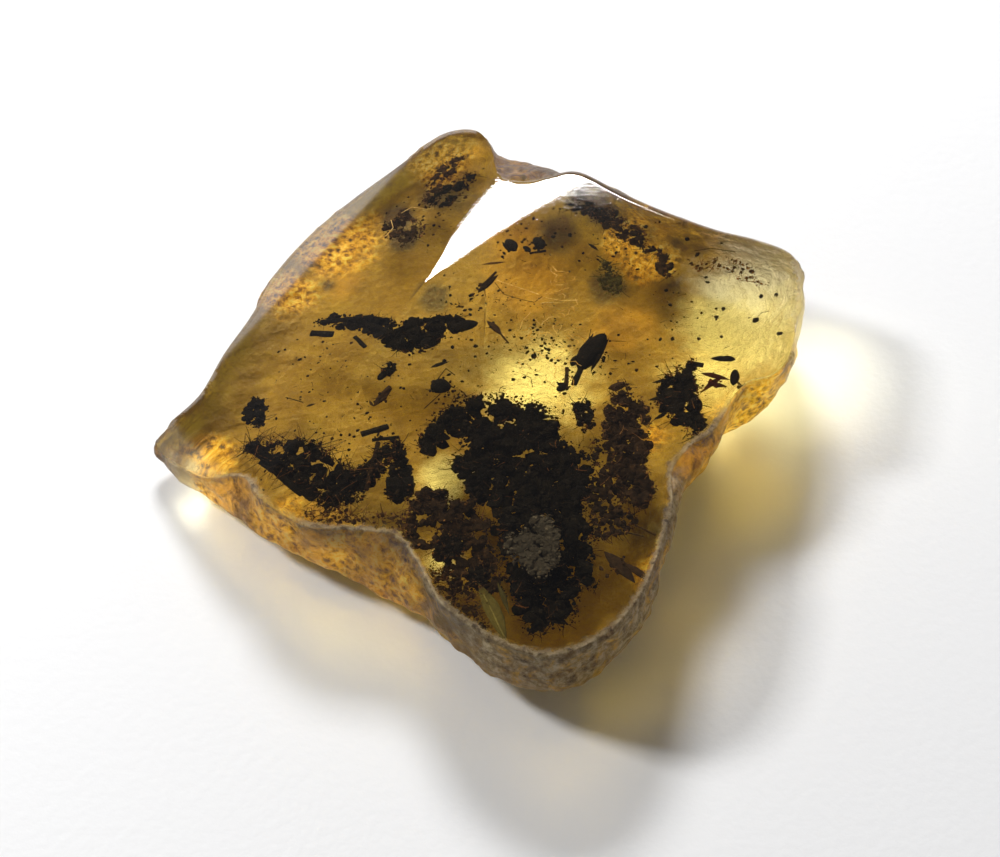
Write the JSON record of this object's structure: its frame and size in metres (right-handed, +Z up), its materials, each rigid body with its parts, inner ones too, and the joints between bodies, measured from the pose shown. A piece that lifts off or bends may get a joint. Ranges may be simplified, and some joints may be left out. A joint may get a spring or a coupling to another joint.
{
  "type": "amber with inclusions",
  "caption": "Flat piece of clear polished amber with dark plant debris, bark, seeds and leaf litter sealed inside; lies on its flat underside.",
  "frame": {"origin": "middle of the bounding box at the flat underside", "axes": "+Z up out of the polished face, the thin way through the stone; +Y from the thick rounded corner to the far lobe, the longest way; +X towards the clear right lobe"},
  "size_m": [0.0416, 0.0455, 0.007],
  "materials": {
    "amber": "clear golden resin, polished above, frosted rind at the edge",
    "black_debris": "near-black charred plant debris, matt",
    "brown_debris": "dark brown fibrous plant debris, matt",
    "red_sepals": "dark red-brown sepals, matt",
    "olive_leaf": "thin olive-brown leaf remnant",
    "grey_crust": "grey earthy crust, matt"
  },
  "bodies": {
    "root": {"amber_upper": "amber", "amber_lower": "amber", "debris_mass": "black_debris", "grey_crust": "grey_crust", "brown_lobe": "brown_debris", "small_clump": "black_debris", "frayed_clump": "black_debris", "leaf_remnant": "brown_debris", "olive_leaf": "olive_leaf", "dark_oval": "black_debris", "dark_crumb": "black_debris", "brown_knot": "brown_debris", "black_block": "black_debris", "stem_strand": "brown_debris", "leaf_litter": "black_debris", "red_sepals": "red_sepals", "dark_grain": "black_debris", "bark_strip": "black_debris", "black_flake": "black_debris", "twig_chip": "black_debris", "brown_splinter": "brown_debris", "small_flake": "black_debris", "round_seed": "black_debris", "bud": "black_debris", "brown_husk": "brown_debris", "dark_spindle": "black_debris", "dart": "brown_debris", "upper_grain": "black_debris", "upper_husk": "black_debris"}
  },
  "joints": []
}
